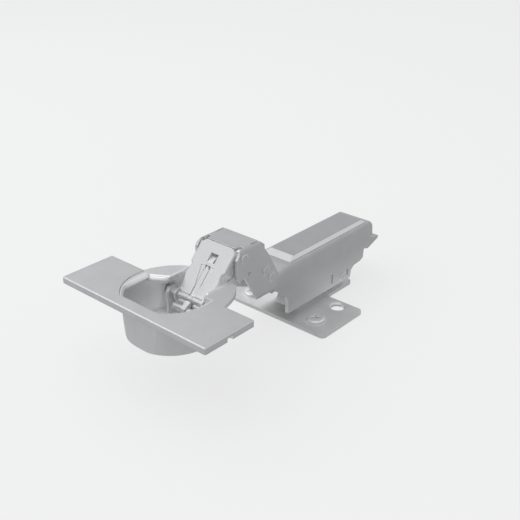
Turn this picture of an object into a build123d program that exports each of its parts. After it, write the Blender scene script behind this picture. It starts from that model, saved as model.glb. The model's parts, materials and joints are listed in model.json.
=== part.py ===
"""Concealed cup hinge: clip-on arm on a cross-shaped mounting plate, seven-pin linkage, 35 mm cup.

Frame, in millimetres: the origin is on the underside of the mounting plate, in the middle of its
fixing-hole line. +X runs along the arm into the cabinet, the cup is at -X, and +Z points away from
the cabinet side. The hinge stands open at a right angle, so the cup's flange lies parallel to the plate.
"""
from build123d import *
import math
import os

os.makedirs("parts", exist_ok=True)

# ---- pivots of the linkage, as (x, z) -------------------------------------------------------------
ARM_PIVOT = (-33.0, 25.8)       # top link on the arm
MID_PIVOT = (-36.3, 29.5)       # top link crosses the cross lever
TOP_PIVOT = (-47.5, 38.3)       # top link to front guide link
CUP_PIVOT = (-63.6, 25.8)       # front guide link to cup
LOW_PIVOT = (-66.3, 22.6)       # cross lever in the cup
TAIL_PIVOT = (-26.1, 19.4)      # cross lever to rear guide link
INNER_PIVOT = (-18.6, 13.2)     # rear guide link in the arm

# ---- pins and running clearances ------------------------------------------------------------------
PIN_R = 1.2
RUNNING = 0.08                  # pin in a hole that turns on it
SIDE_GAP = 0.15                 # between two sheets that slide past each other
RIVET_HEAD_R = 1.6
RIVET_HEAD = 0.45
WIRE_R = 0.3                    # spring wire
WIRE_SIDES = 6                  # sides of its section, few to keep the mesh light
OPEN_CLEARANCE = 0.3            # round the tail pin, in the rear guide link

# ---- mounting plate -------------------------------------------------------------------------------
PLATE_SHEET = 1.5
WING_FRONT = -21.3
WING_REAR = 4.2
WING_HALF = 25.2
WING_CORNER = 1.8
STRIP_REAR = 21.8
STRIP_HALF = 7.5
HOLE_PITCH = 32.0
HOLE_R = 2.6
COUNTERSINK_R = 3.3
LOCK_X = -14.0                  # lock screw, forward of each fixing hole
LOCK_SCREW_R = 2.0
LOCK_HEAD_R = 3.6
LOCK_HEAD = 1.3
LOCK_SLOT = 5.4                 # length of the lock screw's slot
SPINE_HALF = 5.5
SPINE_FRONT = -13.0
SPINE_REAR = 17.5
SPINE_TOP = 8.0

# ---- arm ------------------------------------------------------------------------------------------
ARM_HALF = 8.8
ARM_SHEET = 1.5
ARM_TOP = 24.8
ARM_BOTTOM = 5.1
ARM_FRONT = -21.8
ARM_REAR = 32.3
ARM_NOSE = -27.8                # front edge of the top web
ARM_EYE_R = 3.2
ARM_BEND_R = 1.8
REAR_PIN = (12.7, 7.4)
REAR_PIN_R = 1.5
RELEASE_PIVOT = (23.5, 13.4)
LEVER_HALF = 4.4
GRIP_HALF = 7.0
GRIP_SHEET = 1.2
SIDE_SCREW_X = -6.0
SIDE_SCREW_R = 3.0
CAM_X = 15.0
CAM_R = 4.0
CAM_THROW = 1.0
CAM_STUD_R = 2.0

# ---- arm cap --------------------------------------------------------------------------------------
CAP_RISE = 1.3
CAP_FRONT = -19.0
CAP_REAR = 30.2
CAP_HALF = 6.9
CAP_SLOPE_FRONT = 3.6
CAP_SLOPE_REAR = 1.6
CAP_SLOPE_SIDE = 1.3
CAP_WALL = 0.8

# ---- carrier inside the arm -----------------------------------------------------------------------
CARRIER_SHEET = 1.2
CARRIER_HALF = 7.0
CARRIER_FRONT = -14.5
CARRIER_REAR = 17.5
CARRIER_TOP = 14.2
CARRIER_BOTTOM = 5.3

# ---- links ----------------------------------------------------------------------------------------
LINK_SHEET = 1.05
TOP_LINK_IN = ARM_HALF + SIDE_GAP
TOP_LINK_HALF = TOP_LINK_IN + LINK_SHEET
TOP_LINK_TOP = 41.4
GUIDE_HALF = 8.3                # over the side walls, above the shoulder
GUIDE_TOP_HALF = 6.6            # at the upper edge, between its cut corners
GUIDE_NECK_HALF = 7.4
GUIDE_LOWER_HALF = 7.9
GUIDE_FOOT_HALF = 6.8
GUIDE_TOP = (-48.9, 41.5)       # upper edge of the guide link's sloping face
GUIDE_FOOT = (-63.3, 26.5)      # lower edge of the same face
FOOT_BEAD = (-63.1, 23.4)       # rolled bead under the guide link's foot
FOOT_BEAD_R = 1.5
BLADE_HALF = 1.05               # middle blade of the cross lever, in the guide link's slot
SLOT_TOP = 8.6                  # upper end of that slot, down the sloping face
CROSS_HALF = GUIDE_FOOT_HALF - LINK_SHEET - SIDE_GAP
REAR_LINK_HALF = CROSS_HALF - LINK_SHEET - SIDE_GAP

# ---- cup ------------------------------------------------------------------------------------------
CUP_X = -72.0
CUP_TOP_R = 16.9
CUP_FOOT_R = 16.2
CUP_FLAT = 14.7                 # from the cup's axis to its flat front wall
CUP_WALL = 1.0
CUP_FLOOR = 16.8
DOOR_FACE = 31.2                # underside of the flange
RIM_R = 19.4
RIM_TOP = 32.1
NECK_END = -65.0                # where the mouth has narrowed to its neck, which the links fold through
NECK_HALF = 8.6
RIM_ROUND = 0.7                 # rolled edge of the mouth
NOTCH_HALF = 8.5
NOTCH_FLOOR = 21.4
CHEEK_IN = GUIDE_HALF + SIDE_GAP
CHEEK_SHEET = 1.4

# ---- flange and its cover -------------------------------------------------------------------------
FLANGE_FRONT = -90.8
FLANGE_REAR = -69.1
FLANGE_HALF = 33.9
COVER_TOP = 33.5
COVER_WALL = 0.9
TAB_INNER = 12.0                # side tab of the cover, on the rim deck
TAB_R = 21.2
TAB_REAR = -56.4
END_NOTCH = (-81.3, -78.9)      # notch under each end, for a driver to lift the cover
END_NOTCH_TOP = 32.4
NOTCH_REACH = 2.0
OPENING_NEAR = 0.4              # play between the cover's opening and the mouth, tab side
OPENING_FAR = 1.2               # and on the other side
SCREW_PITCH = 45.0
SCREW_X = CUP_X - 9.5
SCREW_HOLE_R = 2.0


def outline(*points):
    """A flat face from corner points."""
    return make_face(Polyline(*points, close=True))


def across(face, half):
    """A side outline in (x, z), carried across the hinge to both sides of the middle plane."""
    return extrude(Plane.XZ * face, half, both=True)


def disc(centre, radius):
    """A round face about a pivot."""
    return Pos(*centre) * Circle(radius)


def rod(centre, radius, half):
    """A plain pin across the hinge."""
    return across(disc(centre, radius), half)


def rivet(centre, half):
    """A pin with a flat round head outside each end."""
    shank = rod(centre, PIN_R, half)
    heads = rod(centre, RIVET_HEAD_R, half + RIVET_HEAD) - rod(centre, RIVET_HEAD_R + 1, half)
    return shank + heads


def block(x0, x1, y0, y1, z0, z1):
    """A box from its limits."""
    return Pos((x0 + x1) / 2, (y0 + y1) / 2, (z0 + z1) / 2) * Box(x1 - x0, y1 - y0, z1 - z0)


def upright(x, y, radius, z0, z1):
    """A cylinder along Z between two heights."""
    return Pos(x, y, (z0 + z1) / 2) * Cylinder(radius, z1 - z0)


def long_edges(solid, half, height):
    """The edges along X at one half-width and one height."""
    return [
        e for e in solid.edges().filter_by(Axis.X)
        if abs(abs(e.center().Y) - half) < 0.01 and abs(e.center().Z - height) < 0.01
    ]


def toward(start, end):
    """Unit vector from one (x, z) point to another."""
    length = math.dist(start, end)
    return (end[0] - start[0]) / length, (end[1] - start[1]) / length


def strut(start, start_r, end, end_r):
    """A tapering bar's outline between two round eyes."""
    ux, uz = toward(start, end)
    nx, nz = -uz, ux
    body = outline(
        (start[0] + nx * start_r, start[1] + nz * start_r),
        (end[0] + nx * end_r, end[1] + nz * end_r),
        (end[0] - nx * end_r, end[1] - nz * end_r),
        (start[0] - nx * start_r, start[1] - nz * start_r),
    )
    return body + disc(start, start_r) + disc(end, end_r)


def coil(centre, radius, turns, side, y0):
    """A close torsion spring about a pivot, starting at y0 and winding outward."""
    pitch = WIRE_R * 2.25
    path = Helix(pitch, pitch * turns, radius)
    section = Plane(origin=path @ 0, z_dir=path % 0) * RegularPolygon(WIRE_R, WIRE_SIDES)
    spring = sweep(section, path=path)
    lay = Rotation(90 if side < 0 else -90, 0, 0)
    return Pos(centre[0], side * y0, centre[1]) * lay * spring


# ---- mounting plate and its screws ----------------------------------------------------------------
def mounting_plate():
    wings = Pos((WING_FRONT + WING_REAR) / 2, 0) * RectangleRounded(
        WING_REAR - WING_FRONT, 2 * WING_HALF, WING_CORNER)
    strip_front = (WING_FRONT + WING_REAR) / 2
    strip = Pos((strip_front + STRIP_REAR) / 2, 0) * RectangleRounded(
        STRIP_REAR - strip_front, 2 * STRIP_HALF, WING_CORNER)
    cross = wings + strip
    inner_corners = [
        v for v in cross.vertices()
        if abs(v.X - WING_REAR) < 0.01 and abs(abs(v.Y) - STRIP_HALF) < 0.01
    ]
    plate = extrude(fillet(inner_corners, 1.4), PLATE_SHEET)

    slope = SPINE_TOP - PLATE_SHEET
    spine = across(outline(
        (SPINE_FRONT, 0), (SPINE_FRONT, PLATE_SHEET), (SPINE_FRONT + slope, SPINE_TOP),
        (SPINE_REAR, SPINE_TOP), (SPINE_REAR, 0)), SPINE_HALF)
    spine = fillet(long_edges(spine, SPINE_HALF, SPINE_TOP), 1.2)
    lift = PLATE_SHEET * math.sqrt(2)
    hollow = across(outline(
        (SPINE_FRONT + lift, -1), (SPINE_FRONT + lift, 0),
        (SPINE_FRONT + slope + 0.6, SPINE_TOP - PLATE_SHEET),
        (SPINE_REAR - PLATE_SHEET, SPINE_TOP - PLATE_SHEET), (SPINE_REAR - PLATE_SHEET, -1)),
        SPINE_HALF - PLATE_SHEET)
    plate = plate + spine - hollow

    # open hooks in the spine for the arm's rear pin
    hook_r = REAR_PIN_R + 0.1
    hook = disc(REAR_PIN, hook_r) + outline(
        (REAR_PIN[0] - hook_r, REAR_PIN[1]), (REAR_PIN[0] + hook_r, REAR_PIN[1]),
        (REAR_PIN[0] + hook_r, SPINE_TOP + 1), (REAR_PIN[0] - hook_r, SPINE_TOP + 1))
    plate = plate - across(hook, SPINE_HALF + 1)

    for side in (-1, 1):
        y = side * HOLE_PITCH / 2
        plate -= upright(0, y, HOLE_R, -1, PLATE_SHEET + 1)
        sink = COUNTERSINK_R - HOLE_R
        plate -= Pos(0, y, PLATE_SHEET - sink / 2) * Cone(HOLE_R, COUNTERSINK_R, sink)
        slot = Pos(LOCK_X, y) * SlotOverall(LOCK_SLOT, 2 * (LOCK_SCREW_R + 0.15))
        plate -= extrude(slot, PLATE_SHEET + 1)
    return plate


def lock_screws():
    """Cross-recess screws that lock the plate's height setting, with no shank below the plate."""
    screws = []
    for side in (-1, 1):
        y = side * HOLE_PITCH / 2
        shank = upright(LOCK_X, y, LOCK_SCREW_R, 0, PLATE_SHEET)
        head = upright(LOCK_X, y, LOCK_HEAD_R, PLATE_SHEET, PLATE_SHEET + LOCK_HEAD)
        head = fillet(head.edges().group_by(Axis.Z)[-1], 0.6)
        screw = shank + head
        top = PLATE_SHEET + LOCK_HEAD
        for angle in (45, 135):
            screw -= Pos(LOCK_X, y, top) * Rotation(0, 0, angle) * Box(3.8, 0.8, 1.6)
        screws.append(screw)
    return screws


# ---- arm ------------------------------------------------------------------------------------------
def arm():
    ax, az = ARM_PIVOT
    r = ARM_EYE_R
    side = outline(
        (ARM_FRONT, ARM_BOTTOM), (18.2, ARM_BOTTOM - 0.3), (18.6, 7.9), (20.5, 9.4), (24.8, 9.7),
        (26.8, 10.7), (27.2, 14.3), (ARM_REAR + 0.6, 19.2), (ARM_REAR, ARM_TOP),
        (-21.3, ARM_TOP), (ARM_NOSE, ARM_TOP - 0.6), (ax + 0.55 * r, az + 0.83 * r), ARM_PIVOT,
        (ax - 0.65 * r, az - 0.76 * r), (ARM_FRONT, 11.3))
    body = across(side + disc(ARM_PIVOT, r), ARM_HALF)
    body = fillet(long_edges(body, ARM_HALF, ARM_TOP), ARM_BEND_R)

    inner = ARM_HALF - ARM_SHEET
    ceiling = ARM_TOP - ARM_SHEET
    channel = block(-45, 45, -inner, inner, -1, ceiling)
    channel = fillet(long_edges(channel, inner, ceiling), ARM_BEND_R - 0.9)
    body = body - channel - block(-45, ARM_NOSE, -inner, inner, 0, 45)

    # relief slots in the lower edge of both walls
    body -= block(5.4, 6.2, -10, 10, 6.5, 10.7)
    body -= block(15.7, 16.5, -10, 10, 6.5, 9.4)

    # seats of the pins and of the two adjusters
    body -= rod(ARM_PIVOT, PIN_R + RUNNING, 12)
    body -= rod(INNER_PIVOT, PIN_R, 12)
    body -= rod(RELEASE_PIVOT, PIN_R, 12)
    body -= rod(REAR_PIN, REAR_PIN_R, 12)
    body -= upright(SIDE_SCREW_X, 0, SIDE_SCREW_R + RUNNING, 20, 30)
    body -= upright(CAM_X, 0, CAM_R + RUNNING, 20, 30)
    body -= block(0.5, 7.5, -3.0, 3.0, 20, 30)
    return body


def arm_cap():
    """Bevelled cover, open below, on the arm's top web."""
    top = ARM_TOP + CAP_RISE
    length = CAP_REAR - CAP_FRONT
    along = across(outline(
        (CAP_FRONT, ARM_TOP), (CAP_FRONT + CAP_SLOPE_FRONT, top),
        (CAP_REAR - CAP_SLOPE_REAR, top), (CAP_REAR, ARM_TOP)), CAP_HALF)
    section = Plane.YZ.offset(CAP_FRONT) * outline(
        (-CAP_HALF, ARM_TOP), (CAP_SLOPE_SIDE - CAP_HALF, top),
        (CAP_HALF - CAP_SLOPE_SIDE, top), (CAP_HALF, ARM_TOP))
    cap = along & extrude(section, length)
    cap = fillet(cap.edges().group_by(Axis.Z)[-1], 0.4)
    under = ARM_TOP + CAP_RISE - CAP_WALL
    cap -= block(CAP_FRONT + 5, CAP_REAR - 3.4, -CAP_HALF + 2.4, CAP_HALF - 2.4, ARM_TOP - 1, under)
    for side in (-1, 1):
        y0, y1 = sorted((side * 1.9, side * 2.8))
        cap += block(1.0, 7.0, y0, y1, ARM_TOP - 2.4, under + CAP_WALL / 2)
    return cap


def carrier():
    """Inner channel that clips on the plate and carries the arm through its adjusters."""
    inner = CARRIER_HALF - CARRIER_SHEET
    body = across(outline(
        (CARRIER_FRONT, CARRIER_BOTTOM), (CARRIER_REAR, CARRIER_BOTTOM),
        (CARRIER_REAR, CARRIER_TOP), (CARRIER_FRONT, CARRIER_TOP)), CARRIER_HALF)
    body = fillet(long_edges(body, CARRIER_HALF, CARRIER_TOP), 1.5)
    channel = block(-45, 45, -inner, inner, -1, CARRIER_TOP - CARRIER_SHEET)
    body -= channel
    body -= rod(REAR_PIN, REAR_PIN_R, 12)
    reach = CAM_STUD_R + CAM_THROW + 0.2
    body -= upright(CAM_X, 0, reach, 10, 20)
    return body


def side_screw():
    """Side adjusting screw, threaded in the arm, its foot on the carrier."""
    low = CARRIER_TOP
    high = ARM_TOP - 0.6
    body = upright(SIDE_SCREW_X, 0, SIDE_SCREW_R, low + 1.5, high)
    foot = upright(SIDE_SCREW_X, 0, SIDE_SCREW_R - 0.9, low, low + 1.5)
    screw = body + foot
    for angle in (0, 90):
        screw -= Pos(SIDE_SCREW_X, 0, high) * Rotation(0, 0, angle) * Box(3.6, 0.8, 3.0)
    return screw


def depth_cam():
    """Depth cam: a slotted head in the arm's web, and an eccentric stud in the carrier."""
    high = ARM_TOP - 0.6
    head = upright(CAM_X, 0, CAM_R, high - 2.0, high)
    neck = upright(CAM_X, 0, CAM_R - 1.2, CARRIER_TOP + 0.3, high - 2.0)
    stud = upright(CAM_X + CAM_THROW, 0, CAM_STUD_R, CARRIER_TOP - CARRIER_SHEET, CARRIER_TOP + 0.3)
    cam = head + neck + stud
    for angle in (0, 90):
        cam -= Pos(CAM_X, 0, high) * Rotation(0, 0, angle) * Box(4.4, 0.9, 2.4)
    return cam


def release_lever():
    """Lever at the arm's rear end: a hook over the plate's spine, and a wide grip."""
    px, pz = RELEASE_PIVOT
    hook = outline(
        (px - 1.6, pz + 1.6), (29.5, 17.2), (29.5, 13.4), (px + 1.6, pz - 1.8), (20.6, 5.9),
        (SPINE_REAR + 0.5, 7.0), (px - 2.1, pz - 0.4))
    lever = across(hook + disc(RELEASE_PIVOT, 2.3), LEVER_HALF)
    grip = across(outline((27.6, 17.7), (40.4, 15.4), (39.7, 14.3), (33.0, 12.0), (28.4, 13.2)), GRIP_HALF)
    under = outline((29.6, 16.1), (38.2, 14.6), (33.0, 10.0), (29.6, 10.0))
    lever += grip - across(under, GRIP_HALF - GRIP_SHEET)
    return lever - rod(RELEASE_PIVOT, PIN_R + RUNNING, 6)


# ---- links ----------------------------------------------------------------------------------------
def top_link():
    """Bridge-shaped link: two outer plates and a web over the top pin."""
    side = outline(
        (-51.0, 38.6), (-48.7, TOP_LINK_TOP), (-38.2, TOP_LINK_TOP), (-36.9, 40.1), (-36.9, 38.6),
        (-33.9, 34.1),
        (-28.8, 24.9), (-32.4, 20.0), (-39.5, 20.8), (-40.9, 20.1), (-47.6, 31.2), (-49.6, 29.9),
        (-51.0, 31.5))
    body = across(side, TOP_LINK_HALF)
    body = fillet(long_edges(body, TOP_LINK_HALF, TOP_LINK_TOP), 2.0)
    under = TOP_LINK_TOP - LINK_SHEET
    space = block(-60, -20, -TOP_LINK_IN, TOP_LINK_IN, 0, under)
    space = fillet(long_edges(space, TOP_LINK_IN, under), 0.8)
    body = body - space
    body -= across(outline((-60, 30), (-47.4, 30), (-47.8, 40.3), (-48.2, 41.5), (-48.2, 50), (-60, 50)), TOP_LINK_IN)
    body -= block(-37.2, -20, -TOP_LINK_IN, TOP_LINK_IN, 30, 50)
    for side_sign in (-1, 1):
        front = sorted((side_sign * 6.6, side_sign * 8.3))
        rear = sorted((side_sign * 7.7, side_sign * 8.7))
        body -= block(-48.4, -45.9, front[0], front[1], 39, 43)
        body -= block(-42.3, -37.1, rear[0], rear[1], 39, 43)
    for pivot in (ARM_PIVOT, MID_PIVOT, TOP_PIVOT):
        body -= rod(pivot, PIN_R, 14)
    body -= rod((-44.8, 31.5), 0.8, 14)
    return body


def front_guide_link():
    """Bright sloping link: a shouldered face with a window and a pressed tongue, and two side walls."""
    ux, uz = toward(GUIDE_FOOT, GUIDE_TOP)
    nx, nz = -uz, ux
    length = math.dist(GUIDE_FOOT, GUIDE_TOP)
    eye = PIN_R + 0.75
    depth = 14.0

    # the face's plan is laid out on its own plane, from the upper edge down
    face = Plane(origin=(GUIDE_TOP[0], 0, GUIDE_TOP[1]), x_dir=(-ux, 0, -uz), z_dir=(nx, 0, nz))
    plan = ((0, GUIDE_TOP_HALF), (1.4, GUIDE_HALF), (9.0, GUIDE_HALF), (9.9, GUIDE_NECK_HALF),
            (10.9, GUIDE_NECK_HALF), (13.0, GUIDE_LOWER_HALF), (length, GUIDE_FOOT_HALF),
            (length + 4, GUIDE_FOOT_HALF))

    def plan_face(inset):
        right = [(s, half - inset) for s, half in plan]
        left = [(s, -half) for s, half in reversed(right)]
        return face * outline(*right, *left)

    wall = outline(
        GUIDE_TOP, GUIDE_FOOT,
        (CUP_PIVOT[0] - nx * eye, CUP_PIVOT[1] - nz * eye),
        (-53.7, 30.6), (-47.4, 36.4), TOP_PIVOT, (-48.3, 40.0))
    body = across(wall + disc(CUP_PIVOT, eye) + disc(TOP_PIVOT, eye), GUIDE_HALF + 1)
    shell = extrude(plan_face(0), -depth)
    bend = [e for e in shell.edges() if abs(face.to_local_coords(e.center()).Z) < 0.01
            and 0.1 < face.to_local_coords(e.center()).X < length]
    body &= fillet(bend, 0.7)

    # hollow behind the face, and open below its lower edge
    hollow = extrude(Plane(origin=face.origin - face.z_dir * LINK_SHEET, x_dir=face.x_dir,
                           z_dir=face.z_dir) * Pos(0, 0) * outline(
        *[(s, half - LINK_SHEET) for s, half in ((-9, GUIDE_HALF),) + plan[2:]],
        *[(s, LINK_SHEET - half) for s, half in reversed(((-9, GUIDE_HALF),) + plan[2:])]), -depth)
    body -= hollow
    foot = outline((length, GUIDE_FOOT_HALF - LINK_SHEET), (length + 6, GUIDE_FOOT_HALF - LINK_SHEET),
                   (length + 6, LINK_SHEET - GUIDE_FOOT_HALF), (length, LINK_SHEET - GUIDE_FOOT_HALF))
    body -= extrude(face * foot, depth / 2, both=True)

    body += rod(FOOT_BEAD, FOOT_BEAD_R, GUIDE_FOOT_HALF)
    body += across(strut(CUP_PIVOT, eye, FOOT_BEAD, FOOT_BEAD_R), GUIDE_FOOT_HALF) - across(
        strut(CUP_PIVOT, eye + 1, FOOT_BEAD, FOOT_BEAD_R + 1), GUIDE_FOOT_HALF - LINK_SHEET)

    window = Pos(5.6, 0.3) * Rectangle(3.4, 3.4)
    body -= extrude(face * window, 2 * LINK_SHEET, both=True)
    tongue = outline((9.0, -3.0), (17.6, -1.0), (17.6, 1.0), (9.0, 3.0))
    body -= extrude(face * tongue, 0.25, both=True)
    slot = Pos((SLOT_TOP + length + 6) / 2, 0) * Rectangle(length + 6 - SLOT_TOP, 2 * (BLADE_HALF + SIDE_GAP))
    body -= extrude(face * slot, 5, both=True)
    for pivot in (TOP_PIVOT, CUP_PIVOT):
        body -= rod(pivot, PIN_R + RUNNING, 12)
    return body


def cross_lever():
    """Lever from the cup into the arm: a blade through the guide link's slot, and a channel behind it."""
    eye = PIN_R + 0.6
    blade = outline(
        (LOW_PIVOT[0] - 0.6, LOW_PIVOT[1] + eye), (-63.4, 26.15), (-55.5, 34.35), (-57.0, 28.9), (-53.0, 29.4),
        (-50.5, 27.0), (-52.2, 25.2), (-58.0, 22.6), (LOW_PIVOT[0], LOW_PIVOT[1] - eye))
    blade = across(blade + disc(LOW_PIVOT, eye) + disc(CUP_PIVOT, PIN_R), BLADE_HALF)

    side = outline(
        (-54.0, 28.6), (-46.5, 30.6), (-38.0, 32.0), MID_PIVOT, (MID_PIVOT[0] + 2.3, MID_PIVOT[1] - 1.1),
        (-29.5, 21.7), TAIL_PIVOT, (TAIL_PIVOT[0] - 1.3, TAIL_PIVOT[1] - 1.3), (-34.8, 20.6), (-41.6, 23.6),
        (-47.6, 26.2), (-52.6, 26.0), (-54.0, 26.6))
    channel = across(side + disc(MID_PIVOT, 2.5) + disc(TAIL_PIVOT, eye), CROSS_HALF)
    sheet = LINK_SHEET
    channel -= across(outline(
        (-52.6, 27.6), (-49.6, 26.15 + sheet), (-47.4, 26.15 + sheet),
        (-41.4, 23.6 + sheet), (-38.0, 10), (-20, 10), (-20, 45), (-52.6, 45)), CROSS_HALF - sheet)
    body = blade + channel
    body -= rod(MID_PIVOT, PIN_R + RUNNING, 12)
    for pivot in (LOW_PIVOT, TAIL_PIVOT):
        body -= rod(pivot, PIN_R, 12)
    return body


def rear_guide_link():
    """Short bar from the cross lever's tail to the arm."""
    eye = PIN_R + OPEN_CLEARANCE + 0.55
    bar = across(strut(TAIL_PIVOT, eye, INNER_PIVOT, PIN_R + 0.9), REAR_LINK_HALF)
    bar -= rod(TAIL_PIVOT, PIN_R + OPEN_CLEARANCE, 12)
    return bar - rod(INNER_PIVOT, PIN_R + RUNNING, 12)


def cup_pins():
    """Two stub pins, one each side, from the bearing's cheeks into the guide link's walls."""
    inner = BLADE_HALF + SIDE_GAP
    pair = rod(CUP_PIVOT, PIN_R, CHEEK_IN + CHEEK_SHEET + 2.1) - rod(CUP_PIVOT, PIN_R + 1, inner)
    return list(pair.solids())


def arm_rivets():
    """Two stub rivets, one each side, that carry the top link on the arm."""
    inner = ARM_HALF - ARM_SHEET - 0.1
    pair = rivet(ARM_PIVOT, TOP_LINK_HALF) - across(disc(ARM_PIVOT, 3), inner)
    return list(pair.solids())


# ---- cup ------------------------------------------------------------------------------------------
def cup_blank(top_r, foot_r, flat, low, high, corner):
    """A tapered round cup with a flat front, as a solid plug."""
    profile = outline((0, low), (foot_r, low), (top_r, high), (0, high))
    profile = fillet(profile.vertices().group_by(Axis.Y)[0].sort_by(Axis.X)[-1], corner)
    plug = revolve(Plane.XZ * profile, Axis.Z)
    return Pos(CUP_X, 0, 0) * plug & block(CUP_X - flat, CUP_X + 40, -40, 40, low, high)


def rolled(sheet, opening, height):
    """A sheet with an opening cut in it, the opening's upper edge rolled over."""
    sheet = sheet - opening
    rim = [e for e in sheet.edges() if (e @ 0.5).Z > height - 0.01 and (e @ 0).Z > height - 0.01
           and opening.distance_to(Vertex(*(e @ 0.5))) < 0.01]
    return fillet(rim, RIM_ROUND)


def cup():
    body = cup_blank(CUP_TOP_R, CUP_FOOT_R, CUP_FLAT, CUP_FLOOR, DOOR_FACE, 2.0)

    # mouth: round in front, narrowing behind the flange to a neck
    reach = CUP_TOP_R - CUP_WALL
    front = CUP_X - CUP_FLAT + CUP_WALL
    shoulder = math.sqrt(reach**2 - (FLANGE_REAR - CUP_X)**2)
    half_plan = [(front, 20), (FLANGE_REAR, 20), (FLANGE_REAR, shoulder), (NECK_END, NECK_HALF), (-50, NECK_HALF)]
    mouth = outline(*half_plan, *[(x, -y) for x, y in reversed(half_plan)]) & Pos(CUP_X, 0) * Circle(reach + 0.001)
    mouth = mouth + Pos(CUP_X + reach, 0) * Rectangle(10, 2 * NECK_HALF)
    mouth = extrude(Pos(0, 0, DOOR_FACE - 1) * mouth, 10)

    # rim deck behind the cup's middle, and the thin flange under the cover
    deck = extrude(Pos(CUP_X, 0, DOOR_FACE) * Circle(RIM_R), RIM_TOP - DOOR_FACE)
    deck = rolled(deck & block(FLANGE_REAR, CUP_X + 40, -40, 40, 30, 40), mouth, RIM_TOP)
    inset = COVER_WALL + 0.1
    flange = block(FLANGE_FRONT + inset, FLANGE_REAR - inset, -FLANGE_HALF + inset, FLANGE_HALF - inset,
                   DOOR_FACE, COVER_TOP - COVER_WALL)
    flange = rolled(flange, mouth, COVER_TOP - COVER_WALL)
    bowl = cup_blank(CUP_TOP_R - CUP_WALL, CUP_FOOT_R - CUP_WALL, CUP_FLAT - CUP_WALL,
                     CUP_FLOOR + CUP_WALL, DOOR_FACE, 1.2)
    body = body - bowl - mouth + deck + flange
    notch = block(CUP_X + 8, CUP_X + 40, -NOTCH_HALF, NOTCH_HALF, NOTCH_FLOOR, 45)
    body -= notch
    for side in (-1, 1):
        body -= upright(SCREW_X, side * SCREW_PITCH / 2, SCREW_HOLE_R, 28, 40)
        y0, y1 = sorted((side * (FLANGE_HALF - NOTCH_REACH), side * 40))
        body -= block(END_NOTCH[0], END_NOTCH[1], y0, y1, 30, END_NOTCH_TOP)
    return body


def flange_cover():
    """Bright flat cover over the flange, with a turned-down edge and a round-ended opening."""
    body = block(FLANGE_FRONT, FLANGE_REAR, -FLANGE_HALF, FLANGE_HALF, DOOR_FACE, COVER_TOP)
    body = fillet(body.edges().filter_by(Axis.Z), 0.6)
    body = fillet(body.edges().group_by(Axis.Z)[-1], 0.4)
    under = COVER_TOP - COVER_WALL
    body -= block(FLANGE_FRONT + COVER_WALL, FLANGE_REAR - COVER_WALL,
                  -FLANGE_HALF + COVER_WALL, FLANGE_HALF - COVER_WALL, DOOR_FACE - 1, under)
    reach = CUP_TOP_R - CUP_WALL
    opening = (upright(CUP_X, 0, reach + OPENING_NEAR, 20, 45) & block(-100, -40, -40, 0, 20, 45)
               ) + (upright(CUP_X, 0, reach + OPENING_FAR, 20, 45) & block(-100, -40, 0, 40, 20, 45))
    opening &= block(CUP_X - CUP_FLAT + CUP_WALL - OPENING_NEAR, CUP_X + 40, -40, 40, 20, 45)
    body = body - opening
    for side in (-1, 1):
        y0, y1 = sorted((side * (FLANGE_HALF - NOTCH_REACH), side * 40))
        body -= block(END_NOTCH[0], END_NOTCH[1], y0, y1, 30, END_NOTCH_TOP)

    # one side tab, carried back over the rim deck
    tab = Pos(CUP_X, 0) * Circle(TAB_R)
    root = FLANGE_REAR - COVER_WALL
    tab &= Pos((root + TAB_REAR) / 2, -TAB_INNER - 10) * Rectangle(TAB_REAR - root, 20)
    tab = extrude(Pos(0, 0, RIM_TOP) * tab, COVER_TOP - RIM_TOP)
    tab -= upright(CUP_X, 0, reach + OPENING_NEAR, 30, 40) & block(-90, FLANGE_REAR, -40, 40, 30, 40)
    return body + tab


def cup_bearing():
    """Bracket in the cup: two cheeks on a base, carrying the front cup pin."""
    outer = CHEEK_IN + CHEEK_SHEET
    floor = CUP_FLOOR + CUP_WALL
    side = outline((-66.4, floor), (-61.6, floor), (-61.4, 26.8), (-62.4, 27.9), (-65.0, 27.9),
                   (-66.2, 26.6))
    body = across(side, outer) - across(side, CHEEK_IN)
    return list((body - rod(CUP_PIVOT, PIN_R, 20)).solids())


def closing_springs():
    """Torsion springs on the front cup pin, outside the bracket's cheeks."""
    start = CHEEK_IN + CHEEK_SHEET + WIRE_R
    return [coil(CUP_PIVOT, PIN_R + WIRE_R + 0.05, 2, side, start) for side in (-1, 1)]


PARTS = {
    "mounting_plate": mounting_plate(),
    "lock_screws": lock_screws(),
    "arm": arm(),
    "arm_cap": arm_cap(),
    "carrier": carrier(),
    "side_screw": side_screw(),
    "depth_cam": depth_cam(),
    "rear_pin": rod(REAR_PIN, REAR_PIN_R, ARM_HALF + 0.4),
    "release_lever": release_lever(),
    "release_pin": rod(RELEASE_PIVOT, PIN_R, ARM_HALF),
    "release_spring": coil(RELEASE_PIVOT, PIN_R + 0.5, 3, 1, LEVER_HALF + 0.5),
    "top_link": top_link(),
    "arm_rivets": arm_rivets(),
    "middle_pin": rivet(MID_PIVOT, TOP_LINK_HALF),
    "top_pin": rivet(TOP_PIVOT, TOP_LINK_HALF),
    "front_guide_link": front_guide_link(),
    "cross_lever": cross_lever(),
    "low_pin": rod(LOW_PIVOT, PIN_R, CROSS_HALF),
    "tail_pin": rod(TAIL_PIVOT, PIN_R, CROSS_HALF),
    "rear_guide_link": rear_guide_link(),
    "inner_pin": rod(INNER_PIVOT, PIN_R, ARM_HALF),
    "cup": cup(),
    "cup_bearing": cup_bearing(),
    "front_cup_pins": cup_pins(),
    "closing_springs": closing_springs(),
    "flange_cover": flange_cover(),
}

for name, shape in PARTS.items():
    solids = shape if isinstance(shape, list) else [shape]
    export_step(Compound(children=list(solids)) if len(solids) > 1 else solids[0], f"parts/{name}.step")
    print(name, round(sum(s.volume for s in solids), 1))
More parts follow.
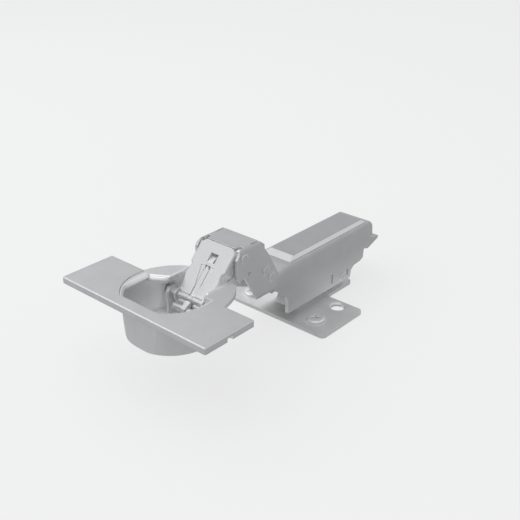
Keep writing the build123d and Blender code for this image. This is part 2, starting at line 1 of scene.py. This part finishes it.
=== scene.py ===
# %% [markdown]
# # A concealed cup hinge in plated steel
#
# This is the sprung hinge inside a cupboard door: a drawn cup with a flat cover, a set of folding
# links, a long arm with a bevelled cap, and the plate that the arm clips on. The frame brings each of
# these pieces as a finished solid, so only a rolled lip and a small lug are modelled here. The rest of
# the lesson is about surfaces: how one plating looks different on pressed sheet, on turned pins and on
# drawn wire, how soft light brings it out, and where highlights and light in hollows are painted into
# the colour.

import json
import math

import bmesh
import bpy
from mathutils import Matrix, Vector


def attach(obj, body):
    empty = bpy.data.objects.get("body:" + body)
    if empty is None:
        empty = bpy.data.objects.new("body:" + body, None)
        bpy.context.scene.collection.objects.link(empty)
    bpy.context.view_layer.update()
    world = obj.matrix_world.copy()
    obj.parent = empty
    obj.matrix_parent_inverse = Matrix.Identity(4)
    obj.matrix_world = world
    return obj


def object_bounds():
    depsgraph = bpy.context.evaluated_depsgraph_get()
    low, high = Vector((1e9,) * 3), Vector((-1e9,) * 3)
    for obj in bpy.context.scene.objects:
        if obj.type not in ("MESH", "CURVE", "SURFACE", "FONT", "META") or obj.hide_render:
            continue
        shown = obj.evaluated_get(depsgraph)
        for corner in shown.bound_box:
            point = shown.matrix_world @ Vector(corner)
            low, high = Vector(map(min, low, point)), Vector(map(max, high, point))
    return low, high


MM = 0.001

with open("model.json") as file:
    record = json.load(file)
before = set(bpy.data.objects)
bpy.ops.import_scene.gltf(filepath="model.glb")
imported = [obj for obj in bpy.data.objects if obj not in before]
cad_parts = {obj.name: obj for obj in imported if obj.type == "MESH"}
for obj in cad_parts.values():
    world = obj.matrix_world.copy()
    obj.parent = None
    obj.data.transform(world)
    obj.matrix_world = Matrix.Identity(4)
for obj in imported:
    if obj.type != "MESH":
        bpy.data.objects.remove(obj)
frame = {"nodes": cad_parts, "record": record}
cad_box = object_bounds()
nodes = frame["nodes"]
print("pieces:", len(nodes), "box in mm:", [round((b - a) / MM, 1) for a, b in zip(*cad_box)])

# %% [markdown]
# ## A small language for nodes
#
# A material is a graph of nodes. Each node and link could be written out in full, but then the idea
# behind a surface drowns in wiring. A few short helpers read like arithmetic instead. Each adds one
# node, feeds its inputs and returns what it gives, and an input takes either a plain value or the
# output of another node.

# %% Feed and add nodes
def feed(tree, value, socket):
    """Joins a node's output to a socket, or sets the socket to a plain value."""
    if isinstance(value, bpy.types.NodeSocket):
        tree.links.new(value, socket)
    else:
        socket.default_value = value


def add(tree, kind, **values):
    """A node of one kind, with its sockets fed by name."""
    node = tree.nodes.new("ShaderNode" + kind)
    for key, value in values.items():
        feed(tree, value, node.inputs[key.replace("_", " ")])
    return node


print("helpers: feed, add")

# %% Reckon and mix with nodes
def reckon(tree, operation, first, second, kind="Math", result="Value"):
    """One step of arithmetic on two numbers, or on two vectors with the kind VectorMath."""
    node = tree.nodes.new("ShaderNode" + kind)
    node.operation = operation
    feed(tree, first, node.inputs[0])
    feed(tree, second, node.inputs[1])
    return node.outputs[result]


def stretch(tree, value, low, high, to_low=0.0, to_high=1.0):
    """Maps one span of values on another and goes no further than its ends."""
    node = add(tree, "MapRange", Value=value, From_Min=low, From_Max=high, To_Min=to_low, To_Max=to_high)
    return node.outputs["Result"]


def blend_colour(tree, factor, first, second):
    """Mixes two colours by a factor."""
    mix = tree.nodes.new("ShaderNodeMix")
    mix.data_type = "RGBA"
    for name, value in (("Factor", factor), ("A", first), ("B", second)):
        feed(tree, value, mix.inputs[name])
    return mix.outputs["Result"]


print("helpers: reckon, stretch, blend_colour")

# %% [markdown]
# ## Noise at a real scale
#
# Real surfaces are uneven at sizes that can be measured with a ruler: so many spots to a millimetre.
# The noise node counts in the scene's metres, so its scale could be tried out by eye for each finish.
# Here a spot's size is given in the maker's millimetres once, and every piece then gets the same spots,
# whatever its own size.

# %% Noise
def speckle(tree, place, spots_per_mm, detail, rough, squeeze=(1, 1, 1)):
    """Noise at a real scale; squeeze draws the spots out along an axis."""
    lay = add(tree, "Mapping", Vector=place, Scale=squeeze)
    noise = add(tree, "TexNoise", Vector=lay.outputs["Vector"], Scale=spots_per_mm / MM, Detail=detail,
                Roughness=rough)
    return noise.outputs["Fac"]


print("helper: speckle")

# %% [markdown]
# ## Painted light in hollows
#
# Inside the cup and under the links the metal mirrors more metal, and such a hollow looks pale. Here
# that light is painted: the base colour turns pale in a hollow. Faces could be picked by hand and
# painted, but a new size would undo that. Ambient occlusion says how hidden any spot is. On its own it
# would also paint light on the outside of the cup where a link folds close to it, so a second helper
# keeps only the faces that look up, or inwards at the cup's axis.

# %% Hidden spots, where light is painted
SHELTER_REACH = 18.0
SHELTER_SAMPLES = 4
# how much of the open a spot sees: a hollow starts at the first share and is deep at the second
IN_THE_OPEN, DEEP_INSIDE = 0.85, 0.35


def occlusion_for_painted_light(tree):
    """How far a spot is hidden from the open: 0 in the open, 1 deep in a hollow, where light is painted.
    """
    hidden = add(tree, "AmbientOcclusion", Distance=SHELTER_REACH * MM)
    hidden.samples = SHELTER_SAMPLES
    return stretch(tree, hidden.outputs["AO"], IN_THE_OPEN, DEEP_INSIDE)


print("a hollow is looked for within", SHELTER_REACH, "mm")

# %% Faces that look up or inwards
# a wall is a face at which the distance from the axis, times how squarely it looks inwards, is 4 mm
INWARDS_BY = 4.0
# a floor is a face whose upright part is 0.7, and below 0.3 it is none
LEVEL_FROM, LEVEL_TO = 0.3, 0.7


def own_normal(tree, normal):
    """A normal in the piece's own directions, which turn with it when the hinge folds."""
    own = add(tree, "VectorTransform", Vector=normal)
    own.vector_type = "NORMAL"
    own.convert_from = "WORLD"
    own.convert_to = "OBJECT"
    return own.outputs["Vector"]


# this keeps the painted light in hollows to floors and to walls that look inwards
def in_hollow(tree, place, normal, axis_at):
    """1 where a face looks up or inwards at an upright axis, as the floor and wall of a cup do."""
    axis = (axis_at[0] * MM, axis_at[1] * MM, 0.0)
    away = reckon(tree, "SUBTRACT", place, axis, "VectorMath", "Vector")
    level = reckon(tree, "MULTIPLY", away, (1.0, 1.0, 0.0), "VectorMath", "Vector")
    own = own_normal(tree, normal)
    inwards = stretch(tree, reckon(tree, "DOT_PRODUCT", level, own, "VectorMath"), 0.0, -INWARDS_BY * MM)
    rise = reckon(tree, "DOT_PRODUCT", own, (0.0, 0.0, 1.0), "VectorMath")
    return reckon(tree, "MAXIMUM", inwards, stretch(tree, rise, LEVEL_FROM, LEVEL_TO))


print("a floor counts as level from", round(math.degrees(math.acos(LEVEL_TO))), "degrees down")

# %% [markdown]
# ## Painted highlights on rolled edges and bevels
#
# Along a rolled edge or a bevel the sheet turns to the light and shows a clean bright band. Here the
# band is a painted highlight in the colour. Such a band could be a thin extra piece or a mask painted
# by hand. But all of its faces tilt alike, so the tilt itself can say where the painted highlight goes,
# and the span has soft ends because a real bend has no sharp start.

# %% Faces of one tilt
def painted_highlight_by_tilt(tree, normal, axis, span):
    """Painted highlight mask: 1 where the tilt along one of the piece's own axes lies between the span's
    two middle values.
    """
    parts = add(tree, "SeparateXYZ", Vector=own_normal(tree, normal))
    tilt = parts.outputs[axis]
    return reckon(tree, "MULTIPLY", stretch(tree, tilt, span[0], span[1]),
                  stretch(tree, tilt, span[3], span[2]))


print("helper: painted_highlight_by_tilt")

# %% [markdown]
# ## Satin nickel on pressed steel
#
# The plate, arm, links and cup are stamped from sheet and plated. Satin nickel has no strong colour,
# and its detail comes in three sizes: clouds a few millimetres wide, small tarnished spots, and the fine
# grain of the rolled sheet. An image of metal could be wrapped round each piece, but it would need
# seams and would blur close up. Noise on the piece's own coordinates has no seams, keeps its real size
# and moves with the piece.

# %% Clouds and tarnish
CLOUDS = dict(spots_per_mm=0.16, detail=4.0, rough=0.55)
CLOUD_FROM, CLOUD_TO = 0.35, 0.65
CLOUD_DARK, CLOUD_LIGHT = 0.97, 1.03
TARNISH = dict(spots_per_mm=0.55, detail=5.0, rough=0.7)
TARNISH_FROM, TARNISH_TO = 0.62, 0.80
TARNISH_SHADE = 0.82
TARNISH_STRENGTH = 0.12


def shade(tint, share):
    """A tint made lighter or darker, as a colour that a socket takes."""
    return (*(min(1.0, part * share) for part in tint), 1.0)


def clouded(tree, place, clouds, tint):
    """The tint with soft clouds and a few tarnished spots."""
    cloud = stretch(tree, clouds, CLOUD_FROM, CLOUD_TO)
    colour = blend_colour(tree, cloud, shade(tint, CLOUD_DARK), shade(tint, CLOUD_LIGHT))
    spots = speckle(tree, place, **TARNISH)
    spots = stretch(tree, spots, TARNISH_FROM, TARNISH_TO, 0.0, TARNISH_STRENGTH)
    return blend_colour(tree, spots, colour, shade(tint, TARNISH_SHADE))


print("a cloud is about", round(1 / CLOUDS["spots_per_mm"], 1), "mm wide")

# %% Sheen and grain
GRAIN = dict(spots_per_mm=2.6, detail=4.0, rough=0.6)
GRAIN_DEPTH = 0.004
GRAIN_STRENGTH = 0.25
NOISE_LOW, NOISE_HIGH = 0.3, 0.7
GRAIN_SHARE, CLOUD_SHARE = 0.35, 0.5
SHEEN_SPAN = 0.05


def satin(tree, clouds, grains, dull):
    """Roughness that wanders round one value, with the grain and with the clouds."""
    by_grain = stretch(tree, grains, NOISE_LOW, NOISE_HIGH, -GRAIN_SHARE, GRAIN_SHARE)
    by_cloud = stretch(tree, clouds, NOISE_LOW, NOISE_HIGH, -CLOUD_SHARE, CLOUD_SHARE)
    wander = reckon(tree, "ADD", by_grain, by_cloud)
    return stretch(tree, wander, -1.0, 1.0, dull - SHEEN_SPAN, dull + SHEEN_SPAN)


def rolled_grain(tree, grains, coarse, normal):
    """Relief a few microns deep on top of a normal."""
    bump = add(tree, "Bump", Strength=GRAIN_STRENGTH, Distance=GRAIN_DEPTH * coarse * MM, Height=grains,
               Normal=normal)
    return bump.outputs["Normal"]


print("grain depth in microns:", 1000 * GRAIN_DEPTH)

# %% [markdown]
# ## One plating for every piece
#
# Pressed edges catch the light because they are never perfectly sharp. Each edge could get a modelled
# bevel, which costs thousands of faces. The Bevel node rounds only the shading, by half a millimetre at
# most, and where the rounded direction leaves the true one the colour is painted brighter, as a painted
# highlight along the edge. One function joins all of this, so the finishes differ only in their
# settings. Satin plating scatters part of the light, so it is set as a little more than half a metal.

# %% Painted highlights on edges
# where the rounded and the true direction agree to the first value the painted edge highlight starts, and
# at the second it is full
EDGE_FROM, EDGE_TO = 0.995, 0.86


def painted_edge_highlights(tree, normal, rounded, painted_edge_light, painted_tilt_highlights):
    """Where edges get a painted highlight and how much brighter: by tilt if such highlights are given,
    else on every edge.
    """
    if painted_tilt_highlights:
        return [(painted_highlight_by_tilt(tree, rounded, axis, span), share) for axis, span, share in painted_tilt_highlights]
    turn = reckon(tree, "DOT_PRODUCT", rounded, normal, "VectorMath")
    return [(stretch(tree, turn, EDGE_FROM, EDGE_TO), painted_edge_light)]


print("an edge starts", round(math.degrees(math.acos(EDGE_FROM))), "degrees off the face")

# %% Plated steel
METAL_SHARE = 0.62
EDGE_SAMPLES = 6


def plated(name, tint, dull, coarse=0.5, along=(1, 1, 1), edge=0.16, painted_edge_light=1.22, painted_tilt_highlights=(), painted_hollow_light=0.94,
           hollow_about=None):
    """A plated metal.

    dull is its roughness, coarse its relief and along the squeeze of its grain. edge is the radius in mm
    of its edges, and painted_edge_light or painted_tilt_highlights says how much painted highlight they
    get. painted_hollow_light is the pale grey painted deep in a hollow as painted light, and hollow_about
    the upright axis that such a hollow goes round, or none for a hollow of any kind.
    """
    material = bpy.data.materials.new(name)
    material.use_nodes = True
    tree = material.node_tree
    place = tree.nodes.new("ShaderNodeTexCoord").outputs["Object"]
    normal = tree.nodes.new("ShaderNodeNewGeometry").outputs["Normal"]
    round_over = add(tree, "Bevel", Radius=edge * MM)
    round_over.samples = EDGE_SAMPLES
    rounded = round_over.outputs["Normal"]
    clouds = speckle(tree, place, **CLOUDS)
    grains = speckle(tree, place, **GRAIN, squeeze=along)

    # painted light: in a hollow the colour turns towards the pale grey painted_hollow_light
    hidden = occlusion_for_painted_light(tree)
    if hollow_about:
        hidden = reckon(tree, "MULTIPLY", hidden, in_hollow(tree, place, normal, hollow_about))
    colour = blend_colour(tree, hidden, clouded(tree, place, clouds, tint), (painted_hollow_light, painted_hollow_light, painted_hollow_light, 1.0))
    # painted highlights: edges and tilted faces get a brighter tint
    for band, share in painted_edge_highlights(tree, normal, rounded, painted_edge_light, painted_tilt_highlights):
        colour = blend_colour(tree, band, colour, shade(tint, share))

    shader = tree.nodes["Principled BSDF"]
    shader.inputs["Metallic"].default_value = METAL_SHARE
    feed(tree, colour, shader.inputs["Base Color"])
    feed(tree, satin(tree, clouds, grains, dull), shader.inputs["Roughness"])
    feed(tree, rolled_grain(tree, grains, coarse, rounded), shader.inputs["Normal"])
    return material


print("share of metal in the plating:", METAL_SHARE)

# %% [markdown]
# ## Sheet finishes
#
# The same bath gives each sheet piece a slightly different look. Sheet keeps the direction in which it
# was rolled, so its grain is drawn out: along the arm, down the cup, across the links. The thick plate
# is the dullest. The cap's two bevels in front and at one side, and the curl of the cup's and the
# cover's rim, get a painted highlight that covers each band as a whole. The cup and the plate get
# painted light in their hollows only where a face looks up or inwards. One shared material would be
# simpler, but the pieces would melt together where they overlap.

# %% Finishes of plate, arm, cap, links, cup and cover
CUP_AXIS = (-72.0, 0.0)
PLATE_AXIS = (0.0, 0.0)
# tilts at which a painted highlight begins, is full, is full for the last time and ends, and how much
# brighter it is painted
CURL_HIGHLIGHT = (0.20, 0.50, 0.90, 0.985)
CAP_SIDE_HIGHLIGHT = ("Y", (-0.40, -0.52, -0.74, -0.80), 1.9)
CAP_FRONT_HIGHLIGHT = ("X", (-0.15, -0.28, -0.42, -0.60), 1.35)


def nickel(level, cool=0.005):
    """A grey that is a little cooler than neutral, from its red part."""
    return (level, level + cool, level + 2 * cool)


FINISHES = {
    "plate_steel": plated("plate_nickel", nickel(0.46), 0.50, coarse=0.8, along=(0.25, 1, 1), painted_hollow_light=0.87,
                          hollow_about=PLATE_AXIS),
    "arm_steel": plated("arm_nickel", nickel(0.33), 0.46, coarse=0.6, along=(0.2, 1, 1), painted_hollow_light=0.85),
    "cap_steel": plated("cap_nickel", nickel(0.31), 0.42, coarse=0.35, along=(0.12, 1, 1), edge=0.3,
                        painted_tilt_highlights=(CAP_SIDE_HIGHLIGHT, CAP_FRONT_HIGHLIGHT)),
    "link_steel": plated("link_nickel", nickel(0.35), 0.42, coarse=0.6, along=(1, 0.3, 1), edge=0.25,
                         painted_edge_light=1.6, painted_hollow_light=0.74),
    "cup_steel": plated("cup_nickel", nickel(0.40), 0.42, coarse=0.5, along=(1, 1, 0.2), edge=0.5,
                        painted_tilt_highlights=(("Z", CURL_HIGHLIGHT, 1.8),), painted_hollow_light=1.0, hollow_about=CUP_AXIS),
    "cover_steel": plated("cover_nickel", nickel(0.37), 0.42, coarse=0.4, along=(1, 0.15, 1), edge=0.45,
                          painted_tilt_highlights=(("Z", CURL_HIGHLIGHT, 1.35),)),
}
print("sheet finishes:", ", ".join(FINISHES))

# %% [markdown]
# ## Screws, pins and springs
#
# Turned and drawn pieces carry marks that run round or along them. Zinc on screw heads is brighter and
# slightly bluer than nickel. Pins are turned steel with a fine lathe grain. Spring wire is painted
# darker, as painted shade, so that it sinks into the shade inside the cup. A finish could be kept for
# each slot alone, but four pieces need their own: the release lever and the cup's bracket stand in the
# shade, so they get less painted light in their hollows and the bracket's tint is painted a little
# darker as painted shade, and two pins wear the finish of the arm that they are pressed in.

# %% Screw, pin, spring and single finishes
FINISHES["screw_steel"] = plated("screw_zinc", nickel(0.60, cool=0.01), 0.40, coarse=0.8, edge=0.35,
                                 painted_edge_light=1.65, painted_hollow_light=0.62)
FINISHES["pin_steel"] = plated("turned_pin", nickel(0.35), 0.42, coarse=0.9, along=(1, 0.2, 1), edge=0.35,
                               painted_edge_light=2.0, painted_hollow_light=0.70)
# painted shade: the wire's tint is dark so that it sinks into the shade inside the cup
FINISHES["spring_steel"] = plated("drawn_wire", nickel(0.21), 0.60, coarse=1.2, along=(1, 0.2, 1),
                                  edge=0.05, painted_hollow_light=0.40)
OWN_FINISH = {
    "release_lever": plated("lever_nickel", nickel(0.33), 0.46, coarse=0.6, along=(0.2, 1, 1), edge=0.25,
                            painted_edge_light=1.7, painted_hollow_light=0.55),
    # painted shade: the bracket's tint is a little darker because it stands in the shade
    "cup_bearing": plated("bracket_nickel", nickel(0.32), 0.50, coarse=0.6, along=(1, 1, 0.2),
                          painted_hollow_light=0.80),
    "inner_pin": FINISHES["arm_steel"],
    "release_pin": FINISHES["arm_steel"],
}
print("finishes by slot:", len(FINISHES), "and for single pieces:", len(OWN_FINISH))
print("nodes in one finish:", len(FINISHES["arm_steel"].node_tree.nodes))

# %% [markdown]
# ## Each piece gets its finish
#
# The record says which finish each piece has, under the same names as above. Whole objects could be
# given a new material by hand, one after another. A loop over the record does it for all, and as the
# finish goes into the piece's own slot, the mesh keeps its faces and only the surface changes.

# %% Put the finishes on
for entry in frame["record"]["subparts"]:
    piece = nodes[entry["node"]]
    piece.data.materials.clear()
    piece.data.materials.append(OWN_FINISH.get(entry["node"], FINISHES[entry["material_slot"]]))

# %% [markdown]
# ## The rolled lip of the cup
#
# A deep-drawn cup doesn't end in a sharp edge: the sheet is rolled over so that it can't cut the
# installer's fingers. The lip could be a curve with a round bevel, but its section is wide in one
# place, narrow in another, and tilted. So a circle is laid at each station of a path, pulled to that
# station's width, height and tilt, and each circle is bridged to the one before it. Sizes are in mm.

# %% New pieces
def new_piece(name, shape, finish):
    """An object at the origin from a bmesh whose place is in its mesh."""
    mesh = bpy.data.meshes.new(name)
    shape.to_mesh(mesh)
    shape.free()
    mesh.materials.append(finish)
    piece = bpy.data.objects.new(name, mesh)
    bpy.context.scene.collection.objects.link(piece)
    return piece


print("helper: new_piece")

# %% A bead along a path
SECTION_SIDES = 16
UP = Vector((0, 0, 1))


def section(place, across, width, height, fall):
    """Pulls a flat unit circle to a section that stands across the path and falls inwards."""
    # the circle is flat, so the third side only completes the matrix
    sides = (-height * UP, width * across + fall * UP, across.cross(UP))
    pull = Matrix([(*side, 0) for side in sides] + [(*place, 1)]).transposed()
    return Matrix.Scale(MM, 4) @ pull


def swept_bead(name, stations, finish):
    """A closed bead. Each station is a place, half its width and height, and its fall inwards."""
    bead = bmesh.new()
    places = [Vector(station[0]) for station in stations]
    last = len(stations) - 1
    rings = []
    for i, (_, width, height, fall) in enumerate(stations):
        ahead = (places[min(i + 1, last)] - places[max(i - 1, 0)]).normalized()
        across = ahead.cross(UP)
        if across.dot(places[i] - Vector((*CUP_AXIS, places[i].z))) < 0:
            across = -across
        ring = bmesh.ops.create_circle(bead, cap_ends=i in (0, last), radius=1.0, segments=SECTION_SIDES,
                                       matrix=section(places[i], across, width, height, fall))
        # each edge is met at both of its ends, and kept once
        rings.append(list(dict.fromkeys(edge for vert in ring["verts"] for edge in vert.link_edges)))
    for first, second in zip(rings, rings[1:]):
        bmesh.ops.bridge_loops(bead, edges=first + second)
    bmesh.ops.recalc_face_normals(bead, faces=bead.faces)
    for face in bead.faces:
        face.smooth = len(face.verts) != SECTION_SIDES
    return new_piece(name, bead, finish)


print("sides of the bead's section:", SECTION_SIDES)

# %% [markdown]
# ## Two lips at the mouth, two along the deck
#
# In the cover's opening the lip is widest: its outside follows the round mouth and its inside runs
# straight, so it looks like a crescent. Along the cup's deck it is a narrow bead that turns two corners.
# Both could be cut from one solid ring, but their widths have nothing in common. As lists of stations
# they use the same bead, and each side of the cup takes the same function with its own sign.

# %% Lip at the mouth
END_SIZE = 0.2
MOUTH_ANGLES = (77.5, 150.0)
MOUTH_STATIONS = 57
MOUTH_LIP = dict(middle=32.25, height=0.85, fall=0.55, ease_steps=3)
NARROWEST = 1.0


def ease(i, last, steps):
    """Grows from a small end to full size over a few steps, and back at the other end."""
    return min(1.0, END_SIZE + (1 - END_SIZE) * min(i, last - i) / steps)


def crescent(side, outer, chord):
    """Round outside, straight inside: the lip in the cover's opening."""
    start, end = MOUTH_ANGLES
    last = MOUTH_STATIONS - 1
    stations = []
    for i in range(MOUTH_STATIONS):
        angle = math.radians(start + (end - start) * i / last)
        inner = min(outer - NARROWEST, chord / math.sin(angle))
        reach, width = (outer + inner) / 2, (outer - inner) / 2
        size = ease(i, last, MOUTH_LIP["ease_steps"])
        place = (CUP_AXIS[0] + reach * math.cos(angle), side * reach * math.sin(angle),
                 MOUTH_LIP["middle"])
        stations.append((place, size * width, size * MOUTH_LIP["height"], size * MOUTH_LIP["fall"]))
    return stations


print("stations at the mouth:", MOUTH_STATIONS)

# %% Lip along the deck
DECK_EDGE = ((-60.0, 9.65), (-65.3, 9.65), (-66.0, 10.1), (-69.9, 15.6))
DECK_STEP = 0.35
DECK_LIP = dict(middle=30.8, width=0.95, height=1.1, fall=0.25, ease_steps=4)


def deck_bead(side):
    """The lip along the deck's edge, from the neck out to the opening."""
    points = []
    for start, end in zip(DECK_EDGE, DECK_EDGE[1:]):
        steps = max(2, round(math.dist(start, end) / DECK_STEP))
        points += [Vector(start).lerp(Vector(end), i / steps) for i in range(steps)]
    points.append(Vector(DECK_EDGE[-1]))
    stations = []
    for i, point in enumerate(points):
        size = ease(i, len(points) - 1, DECK_LIP["ease_steps"])
        place = (point.x, side * point.y, DECK_LIP["middle"])
        stations.append((place, *(size * DECK_LIP[part] for part in ("width", "height", "fall"))))
    return stations


print("stations along the deck:", len(deck_bead(1)))

# %% [markdown]
# ## The lip on its cup
#
# The lip is the cup's own sheet, so it wears a finish like the cup's, with a wider and softer painted
# highlight along its curl. It could be joined to the cup's mesh, but then the cup would no longer be the
# solid from the frame. So it stays four pieces that ride on the cup.

# %% Rolled lip
# the lip's curl gets a painted highlight by its tilt, and its hollows get painted light
lip_finish = plated("lip_nickel", nickel(0.42), 0.42, coarse=0.5, edge=0.1,
                    painted_tilt_highlights=(("Z", (-0.50, -0.20, 0.93, 0.99), 1.45),), painted_hollow_light=1.0)
lips = [
    swept_bead("far_lip", crescent(1, outer=17.0, chord=13.6), lip_finish),
    swept_bead("near_lip", crescent(-1, outer=16.2, chord=14.0), lip_finish),
    swept_bead("far_deck_lip", deck_bead(1), lip_finish),
    swept_bead("near_deck_lip", deck_bead(-1), lip_finish),
]
for piece in lips:
    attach(piece, "cup")
print("lip faces:", sum(len(piece.data.polygons) for piece in lips))

# %% [markdown]
# ## The lug in the window
#
# The square window in the sloping link isn't punched clean through. A small lug stays on its lower
# edge, bent inwards, and catches the light. A bent box would look too sharp at its free end. A fine grid
# is bent instead, with its upper corners clipped, and then thickened to a sheet. It is laid out on the
# sloping face: one number runs down the face, one across it, and one goes in behind it.

# %% Window lug
FACE_TOP = Vector((-48.9, 0.0, 41.5))
FACE_FOOT = Vector((-63.3, 0.0, 26.5))
LUG_TOP, LUG_FOOT = 4.5, 7.4
LUG_NEAR, LUG_FAR = -1.05, 1.35
LUG_STEPS = 10
LUG_SHEET = 0.5
LUG_SUNK = 0.30
LUG_BEND = 0.9
CORNER_DROP = 0.35
CORNER_FROM = 0.6

down_face = (FACE_FOOT - FACE_TOP).normalized()
across_face = Vector((0, 1, 0))
out_of_face = across_face.cross(down_face)

lug = bmesh.new()
bmesh.ops.create_grid(lug, x_segments=LUG_STEPS, y_segments=LUG_STEPS, size=1.0)
for vert in lug.verts:
    sideways = vert.co.x
    share = (1 - vert.co.y) / 2
    bend = 1 - share
    corner = CORNER_DROP * max(0.0, abs(sideways) - CORNER_FROM) * bend**4
    down = LUG_TOP + (LUG_FOOT - LUG_TOP) * share + corner
    over = (LUG_NEAR + LUG_FAR) / 2 + sideways * (LUG_FAR - LUG_NEAR) / 2
    behind = LUG_SUNK + LUG_BEND * bend**2
    vert.co = MM * (FACE_TOP + down_face * down + across_face * over - out_of_face * behind)

# the grid's faces look in behind the link, and a negative thickness grows the sheet on that side
lug.normal_update()
bmesh.ops.solidify(lug, geom=lug.faces[:], thickness=-LUG_SHEET * MM)
bmesh.ops.recalc_face_normals(lug, faces=lug.faces)
window_lug = new_piece("window_lug", lug, FINISHES["link_steel"])
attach(window_lug, "front_guide_link")
print("lug faces:", len(window_lug.data.polygons))

# %% [markdown]
# ## The ground it stands on
#
# A hinge in a catalogue floats over a plain pale ground with hardly a shadow. A real table would show
# a strong one, and no table at all would leave the hinge hanging. So the ground here is two things at
# once: mostly an even pale tone that the eye and the metal's reflections see, and a small part of
# ordinary matt board that takes the shadow.

# %% Pale ground
PALE = (0.832, 0.834, 0.836, 1)
SHADOW_SHARE = 0.16
GROUND_SIDE = 6.0
GROUND_GAP = 0.02


def pale_board():
    """A matt board that the eye, gloss and glass see mostly as an even tone."""
    material = bpy.data.materials.new("pale_board")
    material.use_nodes = True
    tree = material.node_tree
    tree.nodes.clear()
    board = add(tree, "BsdfDiffuse", Color=PALE)
    even = add(tree, "Emission", Color=PALE, Strength=1.0)
    ray = tree.nodes.new("ShaderNodeLightPath").outputs
    seen = reckon(tree, "MAXIMUM", ray["Is Camera Ray"], ray["Is Glossy Ray"])
    seen = reckon(tree, "MAXIMUM", seen, ray["Is Transmission Ray"])
    both = add(tree, "MixShader", Fac=reckon(tree, "MULTIPLY", seen, 1 - SHADOW_SHARE))
    feed(tree, board.outputs["BSDF"], both.inputs[1])
    feed(tree, even.outputs["Emission"], both.inputs[2])
    add(tree, "OutputMaterial", Surface=both.outputs["Shader"])
    return material


bpy.ops.mesh.primitive_plane_add(size=GROUND_SIDE, location=(0, 0, cad_box[0].z - GROUND_GAP * MM))
ground = bpy.context.object
ground.name = "ground"
ground.data.materials.append(pale_board())
print("ground at z =", round(ground.location.z / MM, 2), "mm")

# %% [markdown]
# ## Soft light
#
# Metal shows what stands round it more than it shows its own colour. A small bright lamp would leave
# sharp spots on every pin. A wide soft box high behind the hinge makes the sloping link and the cap's
# front bevel the brightest faces instead, the bevel also with its painted highlight, and three weaker
# ones fill in from behind, from the left and from above. The sky is even and a little darker low down,
# so upright walls stay a calm mid grey.

# %% Sky and soft boxes
SKY_COLOUR = (0.985, 0.992, 1.0, 1)
SKY_LOW, SKY_HIGH = 0.85, 1.02
SKY_FROM, SKY_TO = 0.45, 0.85
HINGE_MIDDLE = Vector((-0.03, 0.0, 0.02))
SOFT_BOXES = {
    "high_box": ((-0.30, 0.42, 0.52), (0.80, 0.50), 1.9),
    "back_box": ((0.17, 0.44, 0.58), (0.35, 0.35), 0.38),
    "left_box": ((-0.75, 0.10, 0.30), (0.60, 0.40), 0.9),
    "top_box": ((-0.12, 0.0, 0.75), (0.30, 0.30), 0.5),
}


def even_sky():
    """A pale sky whose strength grows a little with height."""
    world = bpy.data.worlds.new("studio")
    bpy.context.scene.world = world
    world.use_nodes = True
    tree = world.node_tree
    place = tree.nodes.new("ShaderNodeTexCoord").outputs["Generated"]
    height = add(tree, "SeparateXYZ", Vector=place).outputs["Z"]
    sky = tree.nodes["Background"]
    feed(tree, stretch(tree, height, SKY_FROM, SKY_TO, SKY_LOW, SKY_HIGH), sky.inputs["Strength"])
    feed(tree, SKY_COLOUR, sky.inputs["Color"])


def soft_box(name, place, size, power):
    """A rectangular area lamp that looks at the middle of the hinge."""
    lamp = bpy.data.lights.new(name, "AREA")
    lamp.shape = "RECTANGLE"
    lamp.size, lamp.size_y = size
    lamp.energy = power
    holder = bpy.data.objects.new(name, lamp)
    holder.location = place
    holder.rotation_mode = "QUATERNION"
    holder.rotation_quaternion = (HINGE_MIDDLE - Vector(place)).to_track_quat("-Z", "Y")
    bpy.context.scene.collection.objects.link(holder)


even_sky()
for name, (place, size, power) in SOFT_BOXES.items():
    soft_box(name, place, size, power)

# %% [markdown]
# ## Camera
#
# The camera stands in front of the cup and to one side, a little above, and looks back along the arm.
# It could point at a target with a constraint, but a place and two angles are plain numbers that can't
# shift. It is as close as in a catalogue: the near end of the cover looks larger than the far one.

# %% Camera
EYE = (-0.2318, -0.17869, 0.1642)
HEADING = 41.239
LOOK_DOWN = 26.812
FIELD = 35.0
SENSOR_WIDTH = 36.0
NEAREST, FURTHEST = 0.005, 20.0

camera_data = bpy.data.cameras.new("catalogue_view")
camera_data.sensor_width = SENSOR_WIDTH
camera_data.lens = SENSOR_WIDTH / 2 / math.tan(math.radians(FIELD) / 2)
camera_data.clip_start = NEAREST
camera_data.clip_end = FURTHEST
camera = bpy.data.objects.new("catalogue_view", camera_data)
camera.location = EYE
camera.rotation_euler = (math.radians(90 - LOOK_DOWN), 0, math.radians(HEADING - 90))
bpy.context.scene.collection.objects.link(camera)
bpy.context.scene.camera = camera
bpy.context.scene.view_settings.view_transform = "Standard"
print("lens in mm:", round(camera_data.lens, 2))
